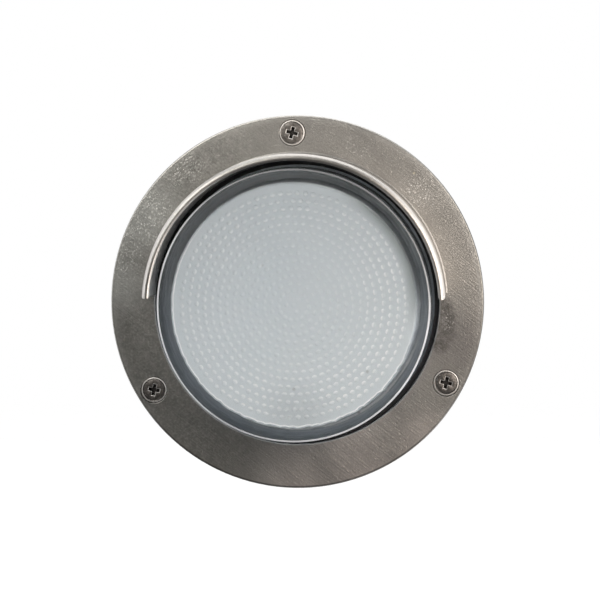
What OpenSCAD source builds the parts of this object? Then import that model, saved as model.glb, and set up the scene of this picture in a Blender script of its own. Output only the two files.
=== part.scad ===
/* [Trim ring] */
// Outer diameter of the stainless ring
ring_d = 140; // [136:1:180]
// Thickness of the ring's front plate
ring_plate = 3; // [2.8:0.1:4.5]
// Wall of the rim that runs back from the plate's edge
ring_rim = 1.9; // [1.2:0.1:2.4]
// Rounding of the ring's front edges
ring_round = 0.7; // [0.4:0.1:1.4]
// Gap left between the back of the rim and the wall
rim_gap = 0.6; // [0.3:0.1:1.2]
// Step from the screw circle out to the ring's edge
screw_edge = 6.6; // [6.4:0.1:9]
// How far the three cover screws are turned, anticlockwise from the front
screw_turn = 1.6; // [-10:0.1:10]

/* [Hood] */
// How far the hood stands out in front of the ring
hood_reach = 28; // [12:0.5:45]
// Thickness of the hood's wall
hood_wall = 2.5; // [1.6:0.1:3.5]
// Height of the hood's two ends above the centre line
hood_end = 2.3; // [0:0.1:25]
// Rounding of the hood's two front corners
hood_corner = 1.6; // [0.5:0.1:5]
// Rounding along the outer edge of the hood's rim
hood_rim_round = 1.1; // [0.3:0.1:1.1]
// Rounding along the inner edge of the hood's rim
hood_inner_round = 0.35; // [0.1:0.05:0.4]
// How far the face of the hood's rim falls back towards its inner edge
hood_rim_fall = 0.6; // [0:0.1:1]
// Fillet where the hood rises from the ring
hood_fillet = 0.8; // [0.3:0.1:1.5]

/* [Lens] */
// How far the glass stands out in front of the ring
lens_reach = 26; // [18:0.5:45]
// Thickness of the glass cup's side wall
lens_wall = 5; // [3:0.1:6]
// Thickness of the glass cup's front
lens_front = 5; // [3:0.1:7]
// Draft of the cup's side, in degrees
lens_draft = 1.4; // [0:0.1:2.5]
// Rounding of the front edge of the glass
lens_round = 1; // [0.4:0.1:2.5]
// Rounding of the inside corner behind the front
lens_inner_round = 1.5; // [0.5:0.1:4]
// Width of the foot that the ring clamps
foot_w = 4.2; // [3.4:0.1:6]
// Thickness of the foot
foot_t = 4; // [2.5:0.1:4.5]
// Open gap between the glass and the ring's hole
lens_gap = 2.2; // [1:0.1:2.6]

/* [Gaskets] */
// Thickness of the rubber channel round the foot
gasket_t = 1.2; // [0.8:0.1:1.6]
// Thickness of the foam gasket on the wall
wall_gasket_t = 1.5; // [1:0.1:3]
// Margin left between the foam gasket and the housing flange's edge
wall_gasket_margin = 1; // [0.5:0.1:2.5]
// Gap between the foam gasket and the collar, which a wall box's rim may fill
wall_gasket_step = 1.2; // [0.9:0.1:2]

/* [Housing] */
// Thickness of the housing's front flange
flange_t = 5.5; // [5.4:0.1:8]
// Step from the screw circle in to the collar
screw_land = 3.9; // [3.4:0.1:4.6]
// Wall of the collar round the glass seat
collar_wall = 2.7; // [2:0.1:4]
// How deep the collar goes into the wall
collar_depth = 6; // [4:0.5:12]
// Width of the ledge that the glass is seated on
ledge_w = 4; // [3.6:0.1:5]
// Wall of the housing's barrel
barrel_wall = 3; // [2:0.1:4]
// Depth of the housing behind the wall face
housing_depth = 42; // [40:1:80]
// Thickness of the housing's back wall
back_wall = 3; // [3:0.1:5]
// Rounding of the housing's back edge
back_round = 4; // [1:0.5:6]
// Number of cooling fins round the barrel
fin_count = 18; // [6:1:30]
// Thickness of a cooling fin
fin_t = 1.8; // [1.2:0.1:3]
// How much each fin stays under the collar
fin_step = 0.4; // [0.2:0.1:1.5]
// Radius of a screw pillar inside the housing
pillar_r = 4; // [3.4:0.1:5]
// Depth of the casting pockets in the flange's back
pocket_depth = 3; // [1:0.5:4]

/* [Back fixing] */
// Distance between the two fixing holes
fixing_pitch = 66; // [60:1:74]
// Diameter of a fixing hole
fixing_d = 5.2; // [4:0.1:6.5]
// Height of the raised pad round each fixing hole
fixing_pad_h = 1; // [0.5:0.1:3]
// Radius of the raised pad round each fixing hole
fixing_pad_r = 7; // [6:0.5:9]
// Thickness of a sealing washer
fixing_washer_t = 2; // [1:0.1:3]
// Radius of a sealing washer
fixing_washer_r = 6; // [5:0.1:7]

/* [Tray] */
// Thickness of the white gear tray's sheet
tray_t = 1.2; // [0.8:0.1:2]
// Width of the tray's sloping reflector rim
tray_slope_w = 7; // [4:0.5:8]
// Height of the tray's sloping reflector rim
tray_slope_h = 9.5; // [4:0.5:10]
// Step from the lampholder's edge out to the tray's screws
tray_screw_edge = 4.5; // [4.2:0.1:8]
// Diameter of a tray screw
tray_screw_d = 4; // [3:0.5:4]

/* [Lampholder] */
// Radius of the lampholder
holder_r = 35.5; // [33.5:0.1:39]
// Height of the lampholder's two parts together
holder_h = 12; // [11:0.1:15]
// Thickness of the plate with the two keyholes
holder_plate = 2.6; // [2:0.1:3.2]
// Wall of the lampholder's skirt
holder_wall = 2; // [1.4:0.1:2.4]
// Thickness of the lampholder's back plate
holder_back_t = 2; // [1.5:0.1:3]
// Distance of each lampholder screw from the centre
holder_screw_r = 28.5; // [28:0.1:29]
// Diameter of a lampholder screw
holder_screw_d = 3.5; // [3:0.1:3.5]
// Turn of the lamp from locked to release, in degrees
twist_angle = 15; // [10:1:20]
// Thickness of a contact strip
contact_t = 0.8; // [0.5:0.1:1.2]
// Width of a contact strip
contact_w = 5; // [3:0.1:6]

/* [Lamp] */
// Diameter of the lamp's body
lamp_d = 75; // [70:0.5:76]
// Height of the lamp's body in front of its base
lamp_h = 16.2; // [14:0.1:22]
// Wall of the lamp's plastic housing
lamp_wall = 1.8; // [1.2:0.1:2.5]
// Radius of the boss that turns in the lampholder
lamp_boss_r = 20; // [17:0.1:20.4]
// Length of that boss
lamp_boss_h = 9.5; // [6:0.1:10]
// Height of the lamp's opal diffuser
diffuser_h = 4; // [3:0.1:6]
// Rounding of the diffuser's edge
diffuser_round = 2.5; // [1:0.1:2.8]
// Distance between the lamp's two pins
pin_pitch = 53; // [53:0.1:54]
// Diameter of a pin's head
pin_head_d = 5; // [4.6:0.1:5.4]
// Diameter of a pin's neck
pin_neck_d = 3.3; // [2.6:0.1:3.6]
// Thickness of a pin's head
pin_head_t = 2; // [1.2:0.1:2.2]
// Thickness of the board that carries the chips
board_t = 1.6; // [1:0.1:2]
// Number of light-emitting chips
chip_count = 12; // [4:1:20]

/* [Terminals] */
// Distance from pole to pole
pole_pitch = 12; // [11.6:0.1:13]
// Width of one pole's housing
pole_w = 6.6; // [6.2:0.1:6.8]
// Length of a pole along its wire
pole_len = 18; // [16:0.5:20]
// Height of the terminal block with its screw towers
block_h = 14; // [13:0.5:17]
// Height of the block's centre above the housing's axis
block_z = 6; // [4:0.5:8]
// Height of the cast pads under the block and the earth lug
pad_h = 3; // [2:0.1:4]
// Radius of a brass insert
insert_r = 2.4; // [2.2:0.1:2.6]
// Diameter of the insulated leads
lead_d = 2.6; // [2:0.1:2.6]

/* [Cable gland] */
// Distance of the gland below the housing's axis
gland_drop = 26; // [24:0.5:27]
// Diameter of the gland's thread
gland_d = 16; // [15:0.5:18]
// Width of the gland's hexagons across the flats
gland_flats = 20; // [19:0.5:21]
// Bore of the rubber seal that grips the cable
cable_bore = 8; // [5:0.1:9]
// Wall of the gland body
gland_wall = 1.7; // [1.2:0.1:2]
// Length of the dome nut
gland_nut_h = 17; // [15:0.5:24]

/* [Cover screws] */
// Diameter of a cover screw
cover_screw_d = 5; // [4:0.5:5]
// Diameter of its countersunk head
cover_head_d = 9.4; // [8.4:0.1:9.8]
// Length of a cover screw, head and all
cover_screw_len = 8; // [7:0.5:8]

/* [Hidden] */

$fn = 96;

// Clearances: loose between assembled pieces, snug round screws, running round the lamp's boss
loose = 0.3;
snug = 0.05;
running = 0.08;
// How far a cutting solid runs past the face it cuts
past = 1;
// How far joined solids of one casting run into each other
sunk = 0.5;

// Planes along the Y axis, from the wall face at 0: the front is negative, the recess positive
flange_back = -wall_gasket_t;
plate_back = flange_back - flange_t;
plate_front = plate_back - ring_plate;
lens_tip = plate_front - lens_reach;
hood_tip = plate_front - hood_reach;
foot_front = plate_back + gasket_t;
foot_back = foot_front + foot_t;
ledge_y = foot_back + gasket_t;
inner_back = housing_depth - back_wall;

// Radii from the ring's edge inwards
ring_r = ring_d / 2;
screw_r = ring_r - screw_edge;
flange_r = ring_r - ring_rim - loose;
collar_r = screw_r - screw_land;
recess_r = collar_r - collar_wall;
gasket_r = recess_r - loose;
foot_r = gasket_r - gasket_t - loose / 3;
lens_base_r = foot_r - foot_w;
hole_r = lens_base_r + lens_gap;
barrel_in = recess_r - ledge_w;
barrel_r = barrel_in + barrel_wall;
fin_r = collar_r - fin_step;
hood_out = hole_r + hood_wall;

// Lens radii: the draft narrows the cup towards its front
lens_tip_r = lens_base_r - (foot_front - lens_tip) * tan(lens_draft);
lens_base_in = lens_base_r - lens_wall;
lens_tip_in = lens_tip_r - lens_wall;
lens_inner_y = lens_tip + lens_front;

// Cover screws: angles from the right-hand side, anticlockwise, and the turn of each cross
cover_angles = [90 + screw_turn, 210 + screw_turn, 330 + screw_turn];
cross_turns = [-15, -10, -12];
csk_margin = 0.5;
head_land = 0.3;
cover_sink = csk_margin - head_land - snug;
cross_len_share = 0.55;
cross_w = 1.3;
cross_depth = 2;

// Lampholder and tray planes: the lamp's base turns just in front of the lampholder
tray_front = 11.5;
tray_back = tray_front + tray_t;
holder_front = tray_front - holder_h;
holder_split = tray_front - holder_back_t;
lamp_base = holder_front - loose;
lamp_front = lamp_base - lamp_h;
diffuser_back = lamp_front + diffuser_h;
tray_screw_r = holder_r + tray_screw_edge;
tray_angles = [90, 210, 330];
tray_rim_r = barrel_in - 4 * loose;
tray_flat_r = tray_rim_r - tray_slope_w;
holder_tube_r = lamp_boss_r + running;
holder_tube_wall = 1.6;
holder_post_r = 4.7;
pin_r = pin_pitch / 2;
slot_r = pin_neck_d / 2 + loose / 2;
entry_r = pin_head_d / 2 + loose;
head_y = holder_front + holder_plate + loose;
contact_y = head_y + pin_head_t + loose;
contact_foot = -14;
contact_heel = -8;
contact_knee = -5;
contact_toe = 9.5;
contact_room = 1.5;
lead_join = -11;
lead_hole_r = lead_d / 2 + loose;

// Screw heads: radius and height for each thread used inside
tray_head = [3.6, 2.4];
holder_head = [3.2, 1.7];
small_head = [2.45, 1.8];
slot_w = 0.8;
slot_depth = 0.9;
tray_screw_len = 8;
nut_t = 2.5;
nut_flats = 6;
small_screw_d = 3;
earth_screw_d = 4;

// Terminal block and earth point on the housing's back wall
block_back = inner_back - pad_h;
block_front = block_back - block_h;
wire_h = 7;
wire_y = block_back - wire_h;
insert_len = 12;
entry_hole_r = lead_d / 2 + loose;
insert_bore_r = 1.6;
tower_r = 2.9;
tower_step = 3.6;
pole_h = 10.5;
web_h = 5;
web_len = 11;
terminal_screw_d = 2.6;
earth_at = [-26, 22];
earth_boss_r = 5;
lug_t = 0.8;
lug_r = 4.2;
lug_barrel_r = 2.1;
lug_barrel_from = 4;
lug_barrel_to = 9;
earth_washer_t = 0.8;

// Gland planes, from the housing's back outwards
gland_r = gland_d / 2;
gland_bore_r = gland_r - gland_wall - snug - 1.2;
gland_washer_t = 1.5;
gland_hex_t = 5;
gland_inner_len = 8;
gland_outer_len = 9;
gland_hex_y = housing_depth + gland_washer_t;
gland_top_y = gland_hex_y + gland_hex_t;
gland_locknut_t = 4;
gland_nut_y = gland_top_y + loose;
seal_seat = 2;
seal_stand = 2;
mouth_r = 5.2;
dome_round = 4;

// Routes of the three inner leads, as points on their centre lines
live_route = [[12, wire_y, 11.2], [12, wire_y, 19], [13, 28.5, 24], [16, 27, 27.5],
    [20, 25, 28], [24, 23, 24], [26.5, 22, 17], [27, 21, 9], [27, 20.5, 1], [27, 19.5, -6],
    [26.6, 17.5, -10], [26.5, 15, -11], [26.5, 12, -11], [26.5, 9.5, -11]];
neutral_route = [[0, wire_y, 11.2], [0, wire_y, 19], [-1, 28, 24], [-4.5, 26, 27.5],
    [-9.5, 24, 28], [-15, 21.5, 25.5], [-20, 19.5, 21], [-24, 18.2, 16], [-26.2, 16.5, 12],
    [-26.5, 14, 11], [-26.5, 12, 11], [-26.5, 9.5, 11]];
earth_route = [[-12, wire_y, 11.2], [-12, wire_y, 20], [-12.2, 29.5, 27], [-14, 30.5, 33],
    [-18, 32, 36.5], [-22.5, 33.2, 36.5], [-25.5, 33.8, 33.5], [-26, 33.9, 31],
    [-26, 33.9, 28]];
lead_sides = 8;

// Points of an arc round c, from angle a to angle b
function arc(c, r, a, b, steps = 6) =
    [for (i = [0:steps]) c + r * [cos(a + (b - a) * i / steps), sin(a + (b - a) * i / steps)]];

// Turns an outline of [radius, y] into a solid round the Y axis
module turned() {
    rotate([-90, 0, 0])
        rotate_extrude()
            children();
}

// A rod of radius r round the Y axis, from y = a to y = b
module rod(r, a, b) {
    translate([0, a, 0])
        rotate([-90, 0, 0])
            cylinder(r = r, h = b - a);
}

// A ring round the Y axis
module tube(r_out, r_in, a, b) {
    difference() {
        rod(r_out, a, b);
        rod(r_in, a - past, b + past);
    }
}

// A hexagon prism of the given width across its flats
module hex_rod(flats, a, b) {
    translate([0, a, 0])
        rotate([-90, 0, 0])
            cylinder(r = flats / 2 / cos(30), h = b - a, $fn = 6);
}

// Puts its children at radius r and angle a, seen from the front
module at(a, r) {
    rotate([0, -a, 0])
        translate([r, 0, 0])
            children();
}

// Two like children, on opposite sides of the Y axis
module both_sides() {
    for (a = [0, 180])
        rotate([0, a, 0])
            children();
}

// A round-headed screw along +Y, its head's underside at the origin, slotted
module pan_screw(d, head, length) {
    difference() {
        turned()
            polygon(concat(
                [[0, -head[1]]],
                arc([head[0] - head[1] / 2, -head[1] / 2], head[1] / 2, -90, 0, 4),
                [[head[0], 0], [d / 2, 0], [d / 2, length - d / 4], [d / 4, length], [0, length]]));
        translate([-head[0], -head[1] - past, -slot_w / 2])
            cube([2 * head[0], slot_depth + past, slot_w]);
    }
}

// A round tube swept along a route, its rings square to the mean direction at each point
module lead(route, ref) {
    n = len(route);
    function way(i) = route[min(i + 1, n - 1)] - route[max(i - 1, 0)];
    function side(i) = cross(ref, way(i)) / norm(cross(ref, way(i)));
    function up(i) = cross(way(i), side(i)) / norm(way(i));
    function ring(i) = [for (k = [0:lead_sides - 1])
        route[i] + lead_d / 2 * (cos(360 * k / lead_sides) * side(i)
            + sin(360 * k / lead_sides) * up(i))];
    skin = [for (i = [0:n - 2], k = [0:lead_sides - 1])
        let (m = (k + 1) % lead_sides, p = i * lead_sides, q = p + lead_sides)
            each [[p + k, q + k, q + m], [p + k, q + m, p + m]]];
    first_cap = [[for (k = [0:lead_sides - 1]) k]];
    last_cap = [[for (k = [lead_sides - 1:-1:0]) (n - 1) * lead_sides + k]];
    polyhedron([for (i = [0:n - 1]) each ring(i)], concat(skin, first_cap, last_cap));
}

// The ring's plate and rim in section
module ring_outline() {
    polygon(concat(
        [[hole_r, plate_back]],
        arc([hole_r + ring_round, plate_front + ring_round], ring_round, 180, 270),
        arc([ring_r - ring_round, plate_front + ring_round], ring_round, 270, 360),
        [[ring_r, -rim_gap], [ring_r - ring_rim, -rim_gap], [ring_r - ring_rim, plate_back]]));
}

// The hood's wall in section, standing on the plate
module hood_outline() {
    polygon(concat(
        [[hole_r, plate_back]],
        arc([hole_r + hood_inner_round, hood_tip + hood_rim_fall + hood_inner_round],
            hood_inner_round, 180, 270, 3),
        arc([hood_out - hood_rim_round, hood_tip + hood_rim_round], hood_rim_round, 270, 360, 5),
        arc([hood_out + hood_fillet, plate_front - hood_fillet], hood_fillet, 180, 90, 4),
        [[hood_out + hood_fillet, plate_back]]));
}

// The half collar that shades the glass. Its two ends are round, and so are their front corners.
module hood() {
    end_r = hood_wall / 2 + snug;
    mid_r = hole_r + hood_wall / 2;
    end_angle = asin((hood_end + end_r) / mid_r);
    end_x = 2 * ring_r * cos(end_angle);
    end_z = 2 * ring_r * sin(end_angle);
    difference() {
        intersection() {
            turned()
                hood_outline();
            union() {
                translate([0, plate_back + past, 0])
                    rotate([90, 0, 0])
                        linear_extrude(plate_back - hood_tip + 2 * past)
                            polygon([[0, 0], [end_x, end_z], [0, 2 * ring_r], [-end_x, end_z]]);
                for (a = [end_angle, 180 - end_angle])
                    at(a, mid_r)
                        rod(end_r, hood_tip - past, plate_back + past);
            }
        }
        translate([-ring_r, hood_tip, hood_end - snug])
            rotate([90, 0, 90])
                linear_extrude(2 * ring_r)
                    difference() {
                        translate([-past, -past])
                            square(hood_corner + past);
                        translate([hood_corner, hood_corner])
                            circle(hood_corner);
                    }
    }
}

// One cone and clearance hole for a cover screw
module countersink() {
    csk_r = cover_head_d / 2 + csk_margin;
    clear_r = cover_screw_d / 2 + loose;
    turned()
        polygon([[0, plate_front - past], [csk_r + past, plate_front - past],
            [clear_r, plate_front + csk_r - clear_r], [clear_r, plate_back + past],
            [0, plate_back + past]]);
}

module trim_ring() {
    color("silver")
        difference() {
            union() {
                turned()
                    ring_outline();
                hood();
            }
            for (a = cover_angles)
                at(a, screw_r)
                    countersink();
        }
}

// One countersunk screw with a cross recess
module cover_screw(cross_turn) {
    top = plate_front + cover_sink;
    head_r = cover_head_d / 2;
    shank_r = cover_screw_d / 2;
    tip = top + cover_screw_len;
    cross_len = cover_head_d * cross_len_share;
    difference() {
        turned()
            polygon([[0, top], [head_r - head_land, top], [head_r, top + head_land / 2],
                [head_r, top + head_land], [shank_r, top + head_land + head_r - shank_r],
                [shank_r, tip - sunk], [shank_r - sunk, tip], [0, tip]]);
        for (a = [0, 90])
            rotate([0, -cross_turn - a, 0])
                translate([-cross_len / 2, top - past, -cross_w / 2])
                    cube([cross_len, cross_depth + past, cross_w]);
    }
}

module cover_screws() {
    color("lightgray")
        for (i = [0:2])
            at(cover_angles[i], screw_r)
                rotate([0, cover_angles[i], 0])
                    cover_screw(cross_turns[i]);
}

// The pressed glass cup with its clamping foot
module lens() {
    tilt = lens_draft;
    color("lightsteelblue", 0.6)
        turned()
            polygon(concat(
                [[0, lens_tip]],
                arc([lens_tip_r - lens_round, lens_tip + lens_round], lens_round, 270, 360 - tilt),
                [[lens_base_r, foot_front], [foot_r, foot_front], [foot_r, foot_back],
                    [lens_base_in, foot_back]],
                arc([lens_tip_in - lens_inner_round, lens_inner_y + lens_inner_round],
                    lens_inner_round, -tilt, -90),
                [[0, lens_inner_y]]));
}

// The rubber channel pushed on the foot
module lens_gasket() {
    leg_r = lens_base_r + 2 * loose;
    color("dimgray")
        turned()
            polygon([[leg_r, plate_back], [gasket_r, plate_back], [gasket_r, ledge_y],
                [leg_r, ledge_y], [leg_r, foot_back], [foot_r + loose / 3, foot_back],
                [foot_r + loose / 3, foot_front], [leg_r, foot_front]]);
}

// The foam ring between the housing's flange and the wall
module wall_gasket() {
    color("darkslategray")
        tube(flange_r - wall_gasket_margin, collar_r + wall_gasket_step, flange_back, 0);
}

// The casting's turned body in section
module housing_outline() {
    inner_round = back_round / 2;
    polygon(concat(
        [[recess_r, plate_back], [flange_r, plate_back], [flange_r, flange_back],
            [collar_r, flange_back], [collar_r, collar_depth], [barrel_r, collar_depth]],
        arc([barrel_r - back_round, housing_depth - back_round], back_round, 0, 90),
        [[0, housing_depth], [0, inner_back]],
        arc([barrel_in - inner_round, inner_back - inner_round], inner_round, 90, 0, 4),
        [[barrel_in, ledge_y], [recess_r, ledge_y]]));
}

// One cooling fin that tapers off before the back edge
module fin() {
    fin_end = housing_depth - back_round - 2;
    translate([0, 0, -fin_t / 2])
        linear_extrude(fin_t)
            polygon([[barrel_r - sunk, collar_depth - sunk], [fin_r, collar_depth - sunk],
                [fin_r, fin_end - 3 * (fin_r - barrel_r)], [barrel_r, fin_end],
                [barrel_r - sunk, fin_end]]);
}

// A curved casting pocket in the flange's back, between two screws
module flange_pocket() {
    web = 1.5;
    span = 92;
    rotate([-90, 0, 0])
        rotate([0, 0, -span / 2])
            rotate_extrude(angle = span)
                translate([collar_r + web, flange_back - pocket_depth])
                    square([flange_r - collar_r - 2 * web, pocket_depth + past]);
}

module housing() {
    tapped = cover_screw_d / 2 + snug;
    fin_turn = 180 / fin_count;
    color("gray")
        difference() {
            union() {
                turned()
                    housing_outline();
                for (i = [0:fin_count - 1])
                    rotate([0, fin_turn + 360 * i / fin_count, 0])
                        fin();
                for (a = tray_angles)
                    at(a, tray_screw_r)
                        rod(pillar_r, tray_back, inner_back + sunk);
                both_sides()
                    translate([fixing_pitch / 2, 0, 0])
                        rod(fixing_pad_r, housing_depth - sunk, housing_depth + fixing_pad_h);
                translate([-pole_pitch, block_back, block_z - web_len / 2])
                    cube([2 * pole_pitch, pad_h + sunk, web_len]);
                translate([earth_at[0], 0, earth_at[1]])
                    rod(earth_boss_r, block_back, inner_back + sunk);
            }
            for (a = cover_angles)
                at(a, screw_r)
                    rod(tapped, plate_back - past, flange_back + past);
            for (a = cover_angles)
                rotate([0, -a - 60, 0])
                    flange_pocket();
            for (a = tray_angles)
                at(a, tray_screw_r)
                    rod(tray_screw_d / 2 + snug, tray_back - past, tray_front + tray_screw_len + past);
            both_sides()
                translate([fixing_pitch / 2, 0, 0])
                    rod(fixing_d / 2, inner_back - past, housing_depth + fixing_pad_h + past);
            translate([0, 0, -gland_drop])
                rod(gland_r + loose / 2, inner_back - past, housing_depth + past);
            for (x = [-pole_pitch / 2, pole_pitch / 2])
                translate([x, 0, block_z])
                    rod(small_screw_d / 2 + snug, block_back - past, inner_back + 1);
            translate([earth_at[0], 0, earth_at[1]])
                rod(earth_screw_d / 2 + snug, block_back - past, inner_back + 1);
        }
}

module fixing_washers() {
    color("black")
        both_sides()
            translate([fixing_pitch / 2, 0, 0])
                tube(fixing_washer_r, fixing_d / 2, inner_back - fixing_washer_t, inner_back);
}

// The white sheet pan that carries the lampholder and throws the light forward.
// Each of its screws has a round flat seat, pressed into the slope where it reaches that far.
module gear_tray() {
    rim_y = tray_front - tray_slope_h;
    slope_t = tray_t * 1.5;
    seat_r = tray_head[0] + 2 * loose;
    color("white")
        difference() {
            union() {
                turned()
                    polygon([[0, tray_front], [tray_flat_r, tray_front], [tray_rim_r, rim_y],
                        [tray_rim_r, rim_y + slope_t], [tray_flat_r, tray_back], [0, tray_back]]);
                for (a = tray_angles)
                    at(a, tray_screw_r)
                        rod(seat_r + tray_t, tray_front, tray_back);
            }
            for (a = tray_angles)
                at(a, tray_screw_r) {
                    rod(seat_r, rim_y - past, tray_front);
                    rod(tray_screw_d / 2 + snug, tray_front - past, tray_back + past);
                }
            for (a = [90, 270])
                at(a, holder_screw_r)
                    rod(holder_screw_d / 2 + snug, tray_front - past, tray_back + past);
            both_sides()
                translate([pin_r, 0, lead_join])
                    rod(lead_hole_r, tray_front - past, tray_back + past);
        }
}

module tray_screws() {
    color("silver")
        for (a = tray_angles)
            at(a, tray_screw_r)
                translate([0, tray_front, 0])
                    pan_screw(tray_screw_d, tray_head, tray_screw_len);
}

// A keyhole slot: locked at angle 0, with its entry hole at the end of the twist
module keyhole() {
    cut_from = holder_front - past;
    cut_to = holder_front + holder_plate + past;
    rotate([-90, 0, 0])
        rotate([0, 0, -twist_angle])
            rotate_extrude(angle = twist_angle)
                translate([pin_r - slot_r, cut_from])
                    square([2 * slot_r, cut_to - cut_from]);
    at(0, pin_r)
        rod(slot_r + snug, cut_from, cut_to);
    at(twist_angle, pin_r)
        rod(entry_r, cut_from, cut_to);
}

// The moulded face of the lampholder, a shallow cup with a tube for the lamp's boss
module lampholder_face() {
    plate_y = holder_front + holder_plate;
    tube_out = holder_tube_r + holder_tube_wall;
    post_floor = holder_front + holder_head[1] + 2 * loose;
    color("ivory")
        difference() {
            union() {
                turned()
                    polygon(concat(
                        [[holder_tube_r, holder_front]],
                        arc([holder_r - 1, holder_front + 1], 1, 270, 360, 4),
                        [[holder_r, holder_split], [holder_r - holder_wall, holder_split],
                            [holder_r - holder_wall, plate_y], [tube_out, plate_y],
                            [tube_out, holder_split], [holder_tube_r, holder_split]]));
                for (a = [90, 270])
                    at(a, holder_screw_r)
                        rod(holder_post_r, holder_front + sunk, holder_split);
            }
            both_sides()
                keyhole();
            for (a = [90, 270])
                at(a, holder_screw_r) {
                    rod(holder_head[0] + loose, holder_front - past, post_floor);
                    rod(holder_screw_d / 2 + snug, holder_front, holder_split + past);
                }
        }
}

// The lampholder's back plate, with wire holes behind the contacts
module lampholder_back() {
    color("wheat")
        difference() {
            tube(holder_r, holder_tube_r, holder_split, tray_front);
            for (a = [90, 270])
                at(a, holder_screw_r)
                    rod(holder_screw_d / 2 + snug, holder_split - past, tray_front + past);
            both_sides()
                translate([pin_r, 0, lead_join])
                    rod(lead_hole_r, holder_split - past, tray_front + past);
        }
}

// One sprung brass strip that presses on the back of a pin's head, its corners trimmed to the skirt
module contact() {
    foot = holder_split - contact_t;
    intersection() {
        translate([pin_r - contact_w / 2, 0, 0])
            rotate([90, 0, 90])
                linear_extrude(contact_w)
                    polygon([[holder_split, contact_foot], [foot, contact_foot],
                        [foot, contact_heel], [contact_y, contact_knee],
                        [contact_y, contact_toe], [contact_y + contact_t, contact_toe],
                        [contact_y + contact_t, contact_knee + contact_t / 2],
                        [holder_split, contact_heel + contact_t / 2]]);
        rod(holder_r - holder_wall - contact_room, holder_front, holder_split + past);
    }
}

module lampholder_contacts() {
    color("goldenrod")
        both_sides()
            contact();
}

module lampholder_screws() {
    head_seat = holder_front + holder_head[1] + 2 * loose;
    color("silver")
        for (a = [90, 270])
            at(a, holder_screw_r)
                translate([0, head_seat, 0])
                    pan_screw(holder_screw_d, holder_head, tray_back + nut_t - head_seat + sunk);
}

module lampholder_nuts() {
    color("silver")
        for (a = [90, 270])
            at(a, holder_screw_r)
                difference() {
                    hex_rod(nut_flats, tray_back, tray_back + nut_t);
                    rod(holder_screw_d / 2 + snug, tray_back - past, tray_back + nut_t + past);
                }
}

// The lamp's plastic cup with the boss that turns in the lampholder
module lamp_housing() {
    lamp_r = lamp_d / 2;
    board_seat = diffuser_back + board_t + 2;
    boss_end = lamp_base + lamp_boss_h;
    color("whitesmoke")
        difference() {
            turned()
                polygon(concat(
                    [[lamp_r - lamp_wall, diffuser_back], [lamp_r, diffuser_back]],
                    arc([lamp_r - 1, lamp_base - 1], 1, 0, 90, 4),
                    [[lamp_boss_r, lamp_base]],
                    arc([lamp_boss_r - 1, boss_end - 1], 1, 0, 90, 4),
                    [[0, boss_end], [0, boss_end - lamp_wall],
                        [lamp_boss_r - lamp_wall, boss_end - lamp_wall],
                        [lamp_boss_r - lamp_wall, lamp_base - 2 * lamp_wall],
                        [lamp_r - 2 * lamp_wall, lamp_base - 2 * lamp_wall],
                        [lamp_r - 2 * lamp_wall, board_seat], [lamp_r - lamp_wall, board_seat]]));
            both_sides()
                at(0, pin_r)
                    rod(pin_neck_d / 2 + snug, lamp_base - 2 * lamp_wall - past, lamp_base + past);
        }
}

module lamp_board() {
    board_seat = diffuser_back + board_t + 2;
    color("gainsboro")
        rod(lamp_d / 2 - lamp_wall - loose, board_seat - board_t, board_seat);
}

module lamp_chips() {
    chip = [3.5, 0.8, 2.8];
    chip_circle = lamp_d / 3;
    board_face = diffuser_back + 2;
    color("gold")
        for (i = [0:chip_count - 1])
            at(360 * i / chip_count, chip_circle)
                translate([-chip[0] / 2, board_face - chip[1], -chip[2] / 2])
                    cube(chip);
}

// The opal cap on the front of the lamp
module lamp_diffuser() {
    lamp_r = lamp_d / 2;
    skin = 1.5;
    spigot_r = lamp_r - lamp_wall - loose / 3;
    color("white", 0.9)
        turned()
            polygon(concat(
                [[0, lamp_front]],
                arc([lamp_r - diffuser_round, lamp_front + diffuser_round], diffuser_round,
                    270, 360),
                [[lamp_r, diffuser_back], [spigot_r, diffuser_back],
                    [spigot_r, diffuser_back + 1], [spigot_r - skin, diffuser_back + 1],
                    [spigot_r - skin, lamp_front + skin], [0, lamp_front + skin]]));
}

// The lamp's two mushroom pins
module lamp_pins() {
    neck = pin_neck_d / 2;
    head = pin_head_d / 2;
    color("silver")
        both_sides()
            at(0, pin_r)
                turned()
                    polygon([[0, lamp_base - 2 * lamp_wall], [neck, lamp_base - 2 * lamp_wall],
                        [neck, head_y], [head, head_y], [head, head_y + pin_head_t - sunk],
                        [head - sunk, head_y + pin_head_t], [0, head_y + pin_head_t]]);
}

// The poles' places across the block
poles = [-pole_pitch, 0, pole_pitch];
webs = [-pole_pitch / 2, pole_pitch / 2];

// The moulded strip: three poles with two screw towers each, joined by thin webs
module terminal_block() {
    bore = insert_r + snug;
    color("seashell")
        difference() {
            union() {
                for (x = poles) {
                    translate([x - pole_w / 2, block_back - pole_h, block_z - pole_len / 2])
                        cube([pole_w, pole_h, pole_len]);
                    for (z = [-tower_step, tower_step])
                        translate([x, 0, block_z + z])
                            rod(tower_r, block_front, block_back - pole_h + sunk);
                }
                translate([-pole_pitch, block_back - web_h, block_z - web_len / 2])
                    cube([2 * pole_pitch, web_h, web_len]);
            }
            for (x = poles) {
                translate([x, wire_y, block_z - insert_len / 2 - snug])
                    cylinder(r = bore, h = insert_len + 2 * snug);
                translate([x, wire_y, block_z - pole_len / 2 - past])
                    cylinder(r = entry_hole_r, h = pole_len + 2 * past);
                for (z = [-tower_step, tower_step])
                    translate([x, 0, block_z + z])
                        rod(terminal_screw_d / 2 + loose, block_front - past, wire_y);
            }
            for (x = webs)
                translate([x, 0, block_z])
                    rod(small_screw_d / 2 + snug, block_back - web_h - past, block_back + past);
        }
}

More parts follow.
